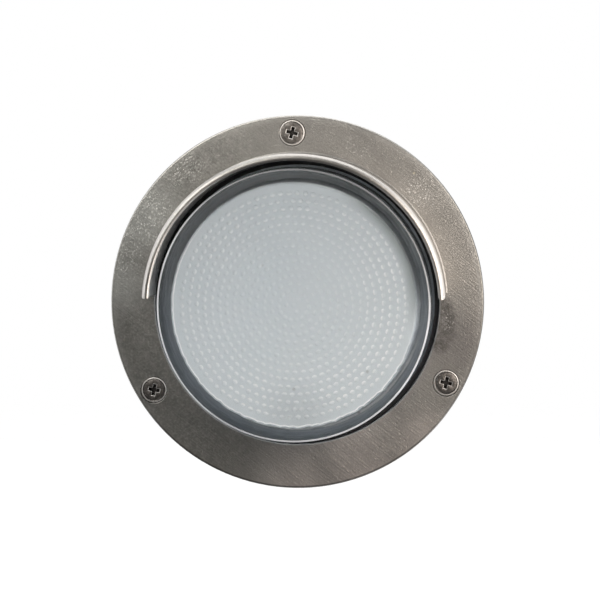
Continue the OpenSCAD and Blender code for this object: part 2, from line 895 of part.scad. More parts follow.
// The brass tube that clamps the wires in each pole
module terminal_inserts() {
    color("goldenrod")
        for (x = poles)
            difference() {
                translate([x, wire_y, block_z - insert_len / 2])
                    cylinder(r = insert_r, h = insert_len);
                translate([x, wire_y, block_z - insert_len / 2 - past])
                    cylinder(r = insert_bore_r, h = insert_len + 2 * past);
                for (z = [-tower_step, tower_step])
                    translate([x, 0, block_z + z])
                        rod(terminal_screw_d / 2 + snug, wire_y - insert_r - past, wire_y);
            }
}

// The clamping screws, sunk in their towers
module terminal_screws() {
    head_at = block_front + 1.5;
    tip_at = wire_y - insert_bore_r + sunk;
    color("silver")
        for (x = poles, z = [-tower_step, tower_step])
            translate([x, 0, block_z + z])
                difference() {
                    rod(terminal_screw_d / 2, head_at, tip_at);
                    translate([-terminal_screw_d, head_at - past, -slot_w / 4])
                        cube([2 * terminal_screw_d, slot_depth + past, slot_w / 2]);
                }
}

module block_screws() {
    color("silver")
        for (x = webs)
            translate([x, block_back - web_h, block_z])
                pan_screw(small_screw_d, small_head, web_h + pad_h);
}

// The tinned ring terminal on the end of the earth lead
module earth_lug() {
    back = block_back;
    barrel_y = back - lug_barrel_r;
    color("lightgray")
        translate([earth_at[0], 0, earth_at[1]])
            difference() {
                union() {
                    rod(lug_r, back - lug_t, back);
                    translate([-lug_barrel_r, back - lug_t, 0])
                        cube([2 * lug_barrel_r, lug_t, lug_barrel_from + 1]);
                    translate([0, barrel_y, lug_barrel_from])
                        cylinder(r = lug_barrel_r, h = lug_barrel_to - lug_barrel_from);
                }
                rod(earth_screw_d / 2 + snug, back - lug_t - past, back + past);
                translate([0, barrel_y, lug_barrel_from + 2])
                    cylinder(r = lead_d / 2 + snug, h = lug_barrel_to);
            }
}

module earth_washer() {
    washer_r = 3.8;
    front = block_back - lug_t - earth_washer_t;
    color("silver")
        translate([earth_at[0], 0, earth_at[1]])
            tube(washer_r, earth_screw_d / 2 + snug, front, front + earth_washer_t);
}

module earth_screw() {
    seat = block_back - lug_t - earth_washer_t;
    color("limegreen")
        translate([earth_at[0], seat, earth_at[1]])
            pan_screw(earth_screw_d, tray_head, inner_back - seat);
}

module live_lead() {
    color("saddlebrown")
        lead(live_route, [1, 1, 0]);
}

module neutral_lead() {
    color("royalblue")
        lead(neutral_route, [-1, 1, 0]);
}

module earth_lead() {
    color("yellowgreen")
        lead(earth_route, [0, 1, 0]);
}

// The gland's body: a threaded spigot each side of its hexagon, bored through
module gland_body() {
    thread_r = gland_r - snug;
    spigot_end = gland_top_y + gland_outer_len;
    color("black")
        translate([0, 0, -gland_drop])
            difference() {
                union() {
                    hex_rod(gland_flats, gland_hex_y, gland_top_y);
                    rod(thread_r, inner_back - gland_inner_len, spigot_end);
                }
                rod(gland_bore_r, inner_back - gland_inner_len - past, spigot_end + past);
                rod(thread_r - gland_wall, gland_top_y + seal_seat, spigot_end + past);
            }
}

module gland_washer() {
    color("dimgray")
        translate([0, 0, -gland_drop])
            tube(gland_flats / 2, gland_r + loose / 2, housing_depth, gland_hex_y);
}

module gland_locknut() {
    color("gray")
        translate([0, 0, -gland_drop])
            difference() {
                hex_rod(gland_flats - 1, inner_back - gland_locknut_t, inner_back);
                rod(gland_r, inner_back - gland_locknut_t - past, inner_back + past);
            }
}

// The rubber bush that grips the cable
module gland_seal() {
    seat = gland_top_y + seal_seat;
    color("dimgray")
        translate([0, 0, -gland_drop])
            tube(gland_r - gland_wall - 2 * snug, cable_bore / 2, seat,
                gland_top_y + gland_outer_len + seal_stand);
}

// The dome nut that presses the bush round the cable
module gland_nut() {
    end_y = gland_nut_y + gland_nut_h;
    skirt_h = gland_nut_h * 0.55;
    cap_y = gland_top_y + gland_outer_len + seal_stand + loose;
    dome_r = gland_flats / 2;
    color("black")
        translate([0, 0, -gland_drop])
            difference() {
                union() {
                    hex_rod(gland_flats, gland_nut_y, gland_nut_y + skirt_h);
                    turned()
                        polygon(concat(
                            [[0, gland_nut_y]],
                            [[dome_r - sunk, gland_nut_y]],
                            arc([dome_r - dome_round, end_y - dome_round], dome_round, 0, 90),
                            [[0, end_y]]));
                }
                rod(gland_r, gland_nut_y - past, cap_y);
                rod(mouth_r, cap_y - past, end_y + past);
            }
}

trim_ring();
cover_screws();
lens();
lens_gasket();
wall_gasket();
housing();
fixing_washers();
gear_tray();
tray_screws();
lampholder_face();
lampholder_back();
lampholder_contacts();
lampholder_screws();
lampholder_nuts();
lamp_housing();
lamp_board();
lamp_chips();
lamp_diffuser();
lamp_pins();
terminal_block();
terminal_inserts();
terminal_screws();
block_screws();
earth_lug();
earth_washer();
earth_screw();
live_lead();
neutral_lead();
earth_lead();
gland_body();
gland_washer();
gland_locknut();
gland_seal();
gland_nut();
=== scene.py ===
import math
import random

import bmesh
import bpy
from mathutils import Matrix, Vector


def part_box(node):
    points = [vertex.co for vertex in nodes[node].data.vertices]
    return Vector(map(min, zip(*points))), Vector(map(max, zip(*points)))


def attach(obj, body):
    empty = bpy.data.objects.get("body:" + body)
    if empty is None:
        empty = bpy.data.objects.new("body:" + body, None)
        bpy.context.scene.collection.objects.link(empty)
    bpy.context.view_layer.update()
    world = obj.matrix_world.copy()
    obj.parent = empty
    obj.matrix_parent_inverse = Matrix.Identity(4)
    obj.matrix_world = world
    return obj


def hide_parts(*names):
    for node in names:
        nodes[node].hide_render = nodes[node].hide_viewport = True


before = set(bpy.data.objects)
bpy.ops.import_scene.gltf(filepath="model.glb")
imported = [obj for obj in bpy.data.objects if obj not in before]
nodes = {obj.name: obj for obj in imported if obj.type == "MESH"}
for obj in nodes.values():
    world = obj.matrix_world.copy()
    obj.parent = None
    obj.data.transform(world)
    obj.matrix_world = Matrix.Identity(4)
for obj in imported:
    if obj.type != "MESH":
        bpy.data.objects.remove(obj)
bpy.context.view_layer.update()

# Studio
# A pale floor lies well below the light and fades into a white surround. The key softbox stands at
# the right, a weaker one at the upper left and a wide one over the floor. The surround is dark
# towards the camera, which gives the steel its slow gradient.
MM = 0.001
hood_reach = 28 * MM
face_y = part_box("trim_ring")[0].y + hood_reach
camera_off_axis = math.radians(4.2)
camera_rise = math.radians(43)
camera_distance = 1.127
view_width = 0.2249
sensor = 36.0
image_width = 600
ring_centre_px = (297.0, 302.3)
light_from_front = 0.11
light_from_sides = 1.7
share_from_back = 0.25
share_from_low_left = 0.35
floor_z = -0.16
floor_r = 1.6
floor_clear_r = 0.45
floor_gone_r = 1.5


def input_of(tree, node, name, value):
    """Sets a node's input to a value, or links a socket to it."""
    socket = node.inputs[name]
    if isinstance(value, bpy.types.NodeSocket):
        tree.links.new(value, socket)
    else:
        socket.default_value = value


def add(tree, kind, inputs=None, **settings):
    """Adds a shader node with its settings and inputs, and returns it."""
    node = tree.nodes.new("ShaderNode" + kind)
    for name, value in settings.items():
        setattr(node, name, value)
    for name, value in (inputs or {}).items():
        input_of(tree, node, name, value)
    return node


def maths(tree, operation, *values):
    """A Math node's output."""
    return add(tree, "Math", dict(enumerate(values)), operation=operation).outputs[0]


def times(tree, product, *factors):
    """Several values or masks multiplied."""
    for factor in factors:
        product = maths(tree, "MULTIPLY", product, factor)
    return product


def vector_maths(tree, operation, *values):
    """A Vector Math node's output, which is a number for a dot product, a length or a distance."""
    names = [0, "Scale"] if operation == "SCALE" else [0, 1]
    node = add(tree, "VectorMath", dict(zip(names, values)), operation=operation)
    return node.outputs["Value" if operation in ("DOT_PRODUCT", "LENGTH", "DISTANCE") else "Vector"]


def along(tree, vector, direction):
    """How far a vector reaches along a direction."""
    return vector_maths(tree, "DOT_PRODUCT", vector, direction)


def place_on(tree):
    """The place on the piece, in metres."""
    return add(tree, "TexCoord").outputs["Object"]


def spread(tree, value, low, high, to_low=0.0, to_high=1.0):
    """Maps a value from low..high to to_low..to_high, smoothly and held at its ends."""
    ends = dict(enumerate((value, low, high, to_low, to_high)))
    return add(tree, "MapRange", ends, interpolation_type="SMOOTHSTEP").outputs[0]


def blended(tree, factor, first, second):
    """A mix of two colours."""
    return add(tree, "Mix", {"Factor": factor, 6: first, 7: second}, data_type="RGBA").outputs[2]


def rgb(r, g, b):
    return (r, g, b, 1.0)


def finish_of(name, colour, roughness, metallic=0.0, **plain):
    """A new material; returns it with its node tree and its Principled shader."""
    made = bpy.data.materials.new(name)
    made.use_nodes = True
    shader = made.node_tree.nodes["Principled BSDF"]
    for label, value in {"Base Color": colour, "Roughness": roughness, "Metallic": metallic, **plain}.items():
        input_of(made.node_tree, shader, label, value)
    return made, made.node_tree, shader


def softbox(name, place, size, power, aim, tint=(1, 1, 1)):
    """A square area light that the camera itself doesn't see."""
    data = bpy.data.lights.new(name, "AREA")
    data.size = size
    data.energy = power
    data.color = tint
    lamp = bpy.data.objects.new(name, data)
    lamp.location = place
    lamp.rotation_euler = (Vector(aim) - Vector(place)).to_track_quat("-Z", "Y").to_euler()
    lamp.visible_camera = False
    bpy.context.scene.collection.objects.link(lamp)


toward_camera = Vector((
    math.sin(camera_off_axis) * math.cos(camera_rise),
    -math.cos(camera_off_axis),
    math.sin(camera_off_axis) * math.sin(camera_rise)))
camera_data = bpy.data.cameras.new("camera")
camera_data.sensor_width = sensor
camera_data.lens = sensor * camera_distance / view_width
camera_data.shift_x = (image_width / 2 - ring_centre_px[0]) / image_width
camera_data.shift_y = (ring_centre_px[1] - image_width / 2) / image_width
camera_data.clip_start = 0.05
camera = bpy.data.objects.new("camera", camera_data)
camera.location = Vector((0, face_y, 0)) + toward_camera * camera_distance
camera.rotation_euler = (-toward_camera).to_track_quat("-Z", "Y").to_euler()
bpy.context.scene.collection.objects.link(camera)
bpy.context.scene.camera = camera
bpy.context.scene.view_settings.view_transform = "Standard"

softbox("key_softbox", (0.225, -0.235, 0.05), size=0.22, power=0.74,
        aim=(0.02, 0, 0.02), tint=(1.0, 0.92, 0.84))
softbox("upper_left_softbox", (-0.14, -0.25, 0.22), size=0.22, power=0.60,
        aim=(-0.02, 0, 0.02), tint=(1.0, 0.98, 0.93))
softbox("floor_softbox", (0.0, 0.7, 1.6), size=1.6, power=19.0, aim=(0, 0.5, floor_z))

# The surround is pure white to the camera. Only what it sheds on the light is dimmed
world = bpy.data.worlds.new("white_surround")
world.use_nodes = True
bpy.context.scene.world = world
surround = world.node_tree
surround.nodes.clear()
way = add(surround, "TexCoord").outputs["Generated"]
front = along(surround, way, (0, -1, 0))
low_left = along(surround, way, (-0.55, -0.2, -0.8))
shed = times(surround, spread(surround, front, 0.5, 0.1, light_from_front, light_from_sides),
             spread(surround, front, 0.0, -0.4, 1.0, share_from_back),
             spread(surround, low_left, 0.7, 0.97, 1.0, share_from_low_left))
into_glass = spread(surround, front, 0.6, 0.1, 0.66, 0.70)
rays = add(surround, "LightPath").outputs
strength = add(surround, "Mix", {"Factor": rays["Is Transmission Ray"], 2: shed, 3: into_glass}).outputs[0]
strength = add(surround, "Mix", {"Factor": rays["Is Camera Ray"], 2: strength, 3: 1.0}).outputs[0]
background = add(surround, "Background", {"Color": rgb(1, 1, 1), "Strength": strength})
surround.links.new(background.outputs[0], add(surround, "OutputWorld").inputs["Surface"])

floor_bm = bmesh.new()
bmesh.ops.create_circle(floor_bm, cap_ends=True, segments=96, radius=floor_r,
                        matrix=Matrix.Translation((0, 0, floor_z)))
floor_mesh = bpy.data.meshes.new("floor")
floor_bm.to_mesh(floor_mesh)
floor_bm.free()
floor = bpy.data.objects.new("floor", floor_mesh)
bpy.context.scene.collection.objects.link(floor)
floor.visible_glossy = False
floor.visible_diffuse = False
pale_floor, tree, shader = finish_of("pale_floor", rgb(0.93, 0.93, 0.93), 0.8)
fading = spread(tree, vector_maths(tree, "LENGTH", place_on(tree)), floor_gone_r, floor_clear_r)
from_above = maths(tree, "SUBTRACT", 1.0, add(tree, "NewGeometry").outputs["Backfacing"])
input_of(tree, shader, "Alpha", times(tree, fading, from_above))
floor_mesh.materials.append(pale_floor)

# Housing
# A die-cast aluminium can with cooling fins, bare as it left the die and lightly blasted. It sits
# in the wall's opening, is screwed through its back, and carries everything else.


def group(name, inputs, outputs):
    """A shader node group of numbers; returns it with the sockets it is given and those it fills."""
    made = bpy.data.node_groups.new(name, "ShaderNodeTree")
    for label, value in inputs.items():
        socket = made.interface.new_socket(label, in_out="INPUT", socket_type="NodeSocketFloat")
        socket.default_value = value
    for label in outputs:
        made.interface.new_socket(label, in_out="OUTPUT", socket_type="NodeSocketFloat")
    return made, made.nodes.new("NodeGroupInput").outputs, made.nodes.new("NodeGroupOutput").inputs


def use(tree, made, **values):
    """Places a node group in a material, sets its inputs and returns its outputs."""
    node = tree.nodes.new("ShaderNodeGroup")
    node.node_tree = made
    for name, value in values.items():
        input_of(tree, node, name, value)
    return node.outputs


# Soft clouds, from 0 to 1
mottle, given, result = group("mottle", {"Scale": 60.0, "Detail": 4.0}, ["Value"])
cloud = add(mottle, "TexNoise", {"Vector": place_on(mottle), "Scale": given["Scale"],
                                 "Detail": given["Detail"], "Roughness": 0.6})
mottle.links.new(spread(mottle, cloud.outputs["Fac"], 0.3, 0.7), result["Value"])


def picked_cells(tree, place, given):
    """The distance from the nearest cell's middle, and 1 in the share of cells that count."""
    cells = add(tree, "TexVoronoi", {"Vector": place, "Scale": given["Scale"]})
    lot = along(tree, cells.outputs["Color"], (1, 0, 0))
    return cells.outputs["Distance"], maths(tree, "LESS_THAN", lot, given["Share"])


# Small round pits, as in a cast or blasted skin: 1 in a pit's middle, 0 on the skin
pits, given, result = group("pits", {"Scale": 900.0, "Width": 0.3, "Share": 0.5}, ["Value"])
far, kept = picked_cells(pits, place_on(pits), given)
within = maths(pits, "LESS_THAN", far, given["Width"])
dip = maths(pits, "SUBTRACT", 1.0, maths(pits, "DIVIDE", far, given["Width"]))
pits.links.new(times(pits, within, dip, kept), result["Value"])


def relief(tree, shader, height, depth, **normal):
    """Feeds a height, 0 to 1 for a depth in metres, to the shader as a bump."""
    bump = add(tree, "Bump", {"Height": height, "Distance": depth, **normal})
    input_of(tree, shader, "Normal", bump.outputs["Normal"])


def dress(material, *names):
    """Gives the solids of some nodes their finish."""
    for name in names:
        for slot in nodes[name].material_slots:
            slot.material = material


bare_casting, tree, shader = finish_of("bare_casting", rgb(0.36, 0.36, 0.37), 0.5, metallic=0.9)
slow = use(tree, mottle, Scale=28.0)["Value"]
skin = use(tree, mottle, Scale=900.0, Detail=3.0)["Value"]
pores = use(tree, pits, Scale=700.0, Width=0.35, Share=0.25)["Value"]
input_of(tree, shader, "Base Color", blended(tree, slow, rgb(0.32, 0.32, 0.33), rgb(0.42, 0.42, 0.43)))
input_of(tree, shader, "Roughness", spread(tree, slow, 0.0, 1.0, 0.36, 0.52))
relief(tree, shader, maths(tree, "SUBTRACT", skin, pores), 0.06 * MM)
dress(bare_casting, "housing")

# Foam gasket, rubber channel and sealing washers
# Closed-cell foam seals the housing's flange to the wall. A channel of black silicone holds the
# glass's foot, and two silicone washers seal the wall screws in the back.


def moulded(name, colour, deep, roughness, grain=700.0, depth=0.03 * MM, **plain):
    """Moulded plastic or rubber: a slow change of colour, a fine grain and a soft sheen."""
    made, tree, shader = finish_of(name, colour, roughness, **plain)
    slow = use(tree, mottle, Scale=35.0)["Value"]
    fine = use(tree, mottle, Scale=grain, Detail=3.0)["Value"]
    input_of(tree, shader, "Base Color", blended(tree, slow, colour, deep))
    input_of(tree, shader, "Roughness", spread(tree, slow, 0.0, 1.0, roughness - 0.06, roughness + 0.06))
    relief(tree, shader, fine, depth)
    return made


foam = moulded("closed_cell_foam", rgb(0.045, 0.045, 0.05), rgb(0.07, 0.07, 0.075), 0.85,
               grain=500.0, depth=0.2 * MM)
rubber = moulded("black_silicone", rgb(0.018, 0.018, 0.02), rgb(0.03, 0.03, 0.032), 0.5, grain=900.0)
dress(foam, "wall_gasket")
dress(rubber, "lens_gasket", "fixing_washers")

# Cable gland
# Body, locknut and dome nut are moulded in black nylon. The gland is clamped in the back wall on a
# rubber washer, and its dome nut presses a rubber bush on to the supply cable.
nylon = moulded("black_nylon", rgb(0.02, 0.02, 0.022), rgb(0.032, 0.032, 0.034), 0.42, grain=600.0)
dress(nylon, "gland_body", "gland_locknut", "gland_nut")
dress(rubber, "gland_washer", "gland_seal")

# Terminal block
# A strip moulded in natural-coloured plastic, with brass inserts and zinc-plated clamp screws. Two
# more screws hold it to a cast pad on the housing's back wall.


def scored(name, turns, thinness, wander):
    """A group of short marks in a few directions, each so many times longer than wide: 1 in a mark."""
    made, given, result = group(name, {"Scale": 300.0, "Width": 0.2, "Share": 0.1}, ["Value"])
    place = place_on(made)
    bend = add(made, "TexNoise", {"Vector": place, "Scale": 60.0, "Detail": 1.0}).outputs["Color"]
    place = vector_maths(made, "ADD", place, vector_maths(made, "SCALE", bend, wander))
    total = 0.0
    for turn in turns:
        laid = add(made, "VectorRotate", {"Vector": place, "Angle": turn}, rotation_type="Y_AXIS")
        long = vector_maths(made, "MULTIPLY", laid.outputs[0], (thinness, 1.0, 1.0))
        far, kept = picked_cells(made, long, given)
        near = spread(made, far, given["Width"], 0.0)
        total = maths(made, "MAXIMUM", total, times(made, near, kept))
    made.links.new(total, result["Value"])
    return made


scratches = scored("scratches", (0.3, 0.75, 1.2, 2.2), thinness=12.0, wander=0.0015)


def plated(name, colour, dark, roughness, scale=180.0, metallic=1.0):
    """Bright plated or bare metal: cloudy tone, fine tool marks and a few scratches."""
    made, tree, shader = finish_of(name, colour, roughness, metallic)
    slow = use(tree, mottle, Scale=scale)["Value"]
    tool_marks = use(tree, mottle, Scale=1500.0)["Value"]
    hair = use(tree, scratches, Scale=420.0, Width=0.3, Share=0.08)["Value"]
    input_of(tree, shader, "Base Color", blended(tree, slow, colour, dark))
    input_of(tree, shader, "Roughness", spread(tree, slow, 0.0, 1.0, roughness - 0.05, roughness + 0.1))
    relief(tree, shader, maths(tree, "SUBTRACT", tool_marks, hair), 0.01 * MM)
    return made


strip = moulded("natural_strip", rgb(0.80, 0.78, 0.70), rgb(0.87, 0.86, 0.80), 0.45, grain=500.0)
brass = plated("bare_brass", rgb(0.78, 0.58, 0.26), rgb(0.66, 0.47, 0.20), 0.30)
zinc = plated("zinc_plate", rgb(0.66, 0.67, 0.69), rgb(0.56, 0.57, 0.60), 0.32)
dress(strip, "terminal_block")
dress(brass, "terminal_inserts")
dress(zinc, "terminal_screws", "block_screws")

# Earth point
# A tinned ring terminal on the end of the earth lead. A green-marked screw with a zinc-plated
# washer holds it to a cast pad on the housing's back wall.
tin = plated("tin_plate", rgb(0.74, 0.74, 0.75), rgb(0.64, 0.64, 0.66), 0.26)
green_mark = moulded("green_marking", rgb(0.07, 0.34, 0.10), rgb(0.10, 0.42, 0.14), 0.4, grain=800.0)
dress(tin, "earth_lug")
dress(zinc, "earth_washer")
dress(green_mark, "earth_screw")

# Inner leads
# Three leads in silicone sleeves: live brown and neutral blue from the terminal block to the
# lampholder, and earth green to the earth point.
sleeves = {"live_lead": (rgb(0.20, 0.09, 0.04), rgb(0.26, 0.12, 0.06)),
           "neutral_lead": (rgb(0.04, 0.13, 0.45), rgb(0.06, 0.18, 0.55)),
           "earth_lead": (rgb(0.22, 0.48, 0.07), rgb(0.34, 0.58, 0.08))}
for lead, (colour, deep) in sleeves.items():
    dress(moulded(lead + "_sleeve", colour, deep, 0.42, grain=900.0), lead)

# Gear tray and lampholder
# The tray is powder-coated sheet, screwed into the housing. The lampholder is moulded in
# heat-resistant plastic and screwed to the tray, with sprung brass contacts behind its keyholes.
enamel = moulded("white_powder_coat", rgb(0.85, 0.85, 0.83), rgb(0.90, 0.90, 0.88), 0.35,
                 grain=450.0, depth=0.04 * MM)
holder_plastic = moulded("holder_plastic", rgb(0.86, 0.85, 0.80), rgb(0.90, 0.89, 0.85), 0.45)
dress(enamel, "gear_tray")
dress(holder_plastic, "lampholder_face", "lampholder_back")
dress(brass, "lampholder_contacts")
dress(zinc, "tray_screws", "lampholder_screws", "lampholder_nuts")

# Lamp
# A plastic cup with the twist-lock base, a white-faced board with its chips, and an opal cap. Its
# two nickel-plated pins hang in the lampholder's keyholes, and the whole lamp turns to come out.
lamp_plastic = moulded("lamp_plastic", rgb(0.88, 0.88, 0.87), rgb(0.92, 0.92, 0.91), 0.38)
opal = moulded("opal_cap", rgb(0.90, 0.90, 0.89), rgb(0.94, 0.94, 0.93), 0.28, grain=900.0,
               **{"Subsurface Weight": 0.3, "Subsurface Scale": 3 * MM})
white_board = moulded("white_faced_board", rgb(0.85, 0.86, 0.86), rgb(0.90, 0.91, 0.91), 0.5)
phosphor = moulded("phosphor", rgb(0.85, 0.68, 0.14), rgb(0.92, 0.78, 0.24), 0.35)
nickel = plated("nickel_plate", rgb(0.70, 0.68, 0.62), rgb(0.62, 0.60, 0.55), 0.25)
dress(lamp_plastic, "lamp_housing")
dress(opal, "lamp_diffuser")
dress(white_board, "lamp_board")
dress(phosphor, "lamp_chips")
dress(nickel, "lamp_pins")

# Lens
# A pressed glass cup. Its outside is clear, and its inside is etched, with rings of small dimples
# on the front. The trim ring clamps its foot in the rubber channel.
chance = random.Random(7)
lens_low, lens_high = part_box("lens")
lens_tip_y = lens_low.y
foot_back_y = lens_high.y
foot_r = lens_high.x
lens_wall = 5 * MM
lens_front = 5 * MM
foot_t = 4 * MM
foot_width = 4.2 * MM
draft = 1.4
skin_gap = 0.03 * MM
foot_front_y = foot_back_y - foot_t + skin_gap
foot_end_y = foot_back_y - skin_gap
base_r = foot_r - foot_width
base_in_r = base_r - lens_wall
tip_r = base_r - (foot_front_y - lens_tip_y) * math.tan(math.radians(draft))
tip_in_r = tip_r - lens_wall
tip_round = 0.7 * MM
inner_round = 1.3 * MM
etched_y = lens_tip_y + lens_front
etched_r = tip_in_r - inner_round
wall_start_y = etched_y + inner_round
wall_steps = 6
cup_steps = 288
dimple_r = 0.92 * MM
dimple_h = 0.26 * MM
dimple_sides = 12
dimple_lifts = (0.45, 0.8)
ring_pitch = 2.75 * MM
dimple_pitch = 2.9 * MM
dimple_rings = 15
dimple_shift = 0.08 * MM
dimple_turn = 0.04
corner_start = etched_r - 0.1 * MM
corner_end = tip_in_r + 1 * MM
waves = ((23, 0.0, 0.07), (41, 1.5, 0.09), (67, 2.5, 0.10), (97, 0.7, 0.09))
waviest_angle = math.radians(-80)


def turned(outline, steps):
    """A bmesh turned round the Y axis from an outline of (radius, y) points."""
    bm = bmesh.new()
    points = [bm.verts.new((r, y, 0)) for r, y in outline]
    edges = [bm.edges.new(pair) for pair in zip(points, points[1:])]
    bmesh.ops.spin(bm, geom=points + edges, axis=(0, 1, 0), cent=(0, 0, 0), steps=steps,
                   angle=math.tau, use_merge=True)
    bmesh.ops.remove_doubles(bm, verts=bm.verts, dist=1e-6)
    return bm


def bow(centre, radius, start, end, steps):
    """Points of an arc in an outline, between two angles in degrees."""
    angles = [math.radians(start + (end - start) * i / steps) for i in range(steps + 1)]
    return [(centre[0] + radius * math.cos(a), centre[1] + radius * math.sin(a)) for a in angles]


def add_piece(name, bm, body, materials, slot, *stands_for, sharp=35):
    """Makes a finished piece of a bmesh: smooth but for its sharp edges, riding on a body."""
    bmesh.ops.recalc_face_normals(bm, faces=bm.faces)
    limit = math.radians(sharp)
    for face in bm.faces:
        face.smooth = True
    for edge in bm.edges:
        edge.smooth = len(edge.link_faces) == 2 and edge.calc_face_angle(0) < limit
    mesh = bpy.data.meshes.new(name)
    bm.to_mesh(mesh)
    bm.free()
    for material in materials:
        mesh.materials.append(material)
    made = bpy.data.objects.new(name, mesh)
    bpy.context.scene.collection.objects.link(made)
    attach(made, body)
    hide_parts(*stands_for)


# The cup's skin, from the edge of the etched front round the foot to the middle of the clear face
cup_outline = bow((etched_r, wall_start_y), inner_round, -90, -draft, 6)
cup_outline += [(tip_in_r + (base_in_r - tip_in_r) * k / wall_steps,
                 wall_start_y + (foot_end_y - wall_start_y) * k / wall_steps)
                for k in range(1, wall_steps + 1)]
cup_outline += [(foot_r - skin_gap, foot_end_y), (foot_r - skin_gap, foot_front_y), (base_r, foot_front_y)]
cup_outline += bow((tip_r - tip_round, lens_tip_y + tip_round), tip_round, -draft, -90, 7)
cup_outline += [(tip_r * 0.7, lens_tip_y), (tip_r * 0.35, lens_tip_y), (0, lens_tip_y)]
cup = turned(cup_outline, cup_steps)

# One dimple: a shallow dome that stands towards the viewer, inside the glass
dimple = bmesh.new()
bmesh.ops.create_circle(dimple, segments=dimple_sides, radius=dimple_r,
                        matrix=Matrix.Rotation(math.pi / 2, 4, "X"))
rim = list(dimple.edges)
for lift in dimple_lifts:
    ring_in = bmesh.ops.extrude_edge_only(dimple, edges=rim)["geom"]
    moved = [v for v in ring_in if isinstance(v, bmesh.types.BMVert)]
    rim = [e for e in ring_in if isinstance(e, bmesh.types.BMEdge) and e.is_boundary]
    shrink = dimple_r * math.sqrt(1 - lift * lift) / moved[0].co.xz.length
    drop = -dimple_h * lift - moved[0].co.y
    bmesh.ops.scale(dimple, vec=Vector((shrink, 1, shrink)), verts=moved)
    bmesh.ops.translate(dimple, vec=Vector((0, drop, 0)), verts=moved)
top = bmesh.ops.holes_fill(dimple, edges=rim)["faces"]
peak = bmesh.ops.poke(dimple, faces=top)["verts"]
bmesh.ops.translate(dimple, vec=Vector((0, -dimple_h * (1 - dimple_lifts[-1]), 0)), verts=peak)
dimple_mesh = bpy.data.meshes.new("dimple")
dimple.to_mesh(dimple_mesh)
dimple.free()

# Two rings of dimples at a time have the same count, the outer one half a step on
for ring in range(dimple_rings + 1):
    pair_middle = (ring // 2 * 2 + 0.5) * ring_pitch
    count = round(math.tau * pair_middle / dimple_pitch) if ring else 1
    if ring % 2 == 0:
        start = chance.uniform(0, math.tau)
    else:
        start += math.pi / count
    for k in range(count):
        a = start + math.tau * k / count + chance.uniform(-dimple_turn, dimple_turn) / max(ring, 1)
        r = ring * ring_pitch + chance.uniform(-dimple_shift, dimple_shift)
        stretch = (chance.uniform(0.9, 1.05), chance.uniform(0.9, 1.1), chance.uniform(1.0, 1.2), 1)
        spot = (Matrix.Translation((r * math.cos(a), etched_y, r * math.sin(a)))
                @ Matrix.Rotation(-a, 4, "Y") @ Matrix.Diagonal(stretch))
        dimple_mesh.transform(spot)
        cup.from_mesh(dimple_mesh)
        dimple_mesh.transform(spot.inverted())
bpy.data.meshes.remove(dimple_mesh)
open_edges = [e for e in cup.edges if e.is_boundary]
bmesh.ops.triangle_fill(cup, use_beauty=True, edges=open_edges, normal=Vector((0, 1, 0)))

# The inner corner wanders a little, most at the bottom, as it does in pressed glass
for v in cup.verts:
    r = v.co.xz.length
    if corner_start < r < corner_end and v.co.y > etched_y - 3 * MM:
        a = math.atan2(v.co.z, v.co.x)
        wander = sum(height * math.sin(count * a + start) for count, start, height in waves) * MM
        wander *= 0.55 + 0.45 * math.cos(a - waviest_angle)
        v.co.x *= 1 + wander / r
        v.co.z *= 1 + wander / r


def flat_place(tree):
    """The place on the piece, laid flat across the light's axis."""
    return vector_maths(tree, "MULTIPLY", place_on(tree), (1, 0, 1))


def outward_of(tree):
    """The direction straight out from the light's axis."""
    return vector_maths(tree, "NORMALIZE", flat_place(tree))


def tinted(tree, tone, colour, mask, strength=1.0):
    """A tone taken towards a colour where a mask is high."""
    if strength < 1:
        mask = times(tree, mask, strength)
    return blended(tree, mask, tone, colour)


def near_any(tree, spots, inner_share):
    """A mask that is 1 within some round spots of the front, each (angle, radius, size) in mm."""
    where = flat_place(tree)
    mask = 0.0
    for angle, radius, size in spots:
        a = math.radians(angle)
        spot = Vector((radius * math.cos(a), 0, radius * math.sin(a))) * MM
        far = vector_maths(tree, "DISTANCE", where, spot)
        mask = maths(tree, "MAXIMUM", mask, spread(tree, far, size * MM, size * inner_share * MM))
    return mask


# Distance from the light's axis, and depth along it, in metres
axis_place, given, result = group("axis_place", {}, ["Radius", "Depth"])
axis_place.links.new(vector_maths(axis_place, "LENGTH", flat_place(axis_place)), result["Radius"])
axis_place.links.new(along(axis_place, place_on(axis_place), (0, 1, 0)), result["Depth"])

clear_glass, tree, shader = finish_of("clear_glass", rgb(0.96, 0.975, 0.985), 0.02, **{
    "Transmission Weight": 1.0, "IOR": 1.5})
relief(tree, shader, use(tree, mottle, Scale=40.0, Detail=2.0)["Value"], 0.04 * MM)

etched_glass, tree, shader = finish_of("etched_glass", rgb(0.76, 0.785, 0.81), 0.4, **{
    "Transmission Weight": 0.1, "IOR": 1.5})
slow = use(tree, mottle, Scale=30.0)["Value"]
fine = use(tree, mottle, Scale=800.0, Detail=4.0)["Value"]
specks = use(tree, pits, Scale=260.0, Width=0.22, Share=0.05)["Value"]
axis = use(tree, axis_place)
radius = axis["Radius"]
depth = axis["Depth"]
place = place_on(tree)
outward = outward_of(tree)
lit_low_right = spread(tree, along(tree, place, (0.7, 0, -0.7)), -30 * MM, 40 * MM)
high = spread(tree, along(tree, place, (0, 0, 1)), -30 * MM, 40 * MM)
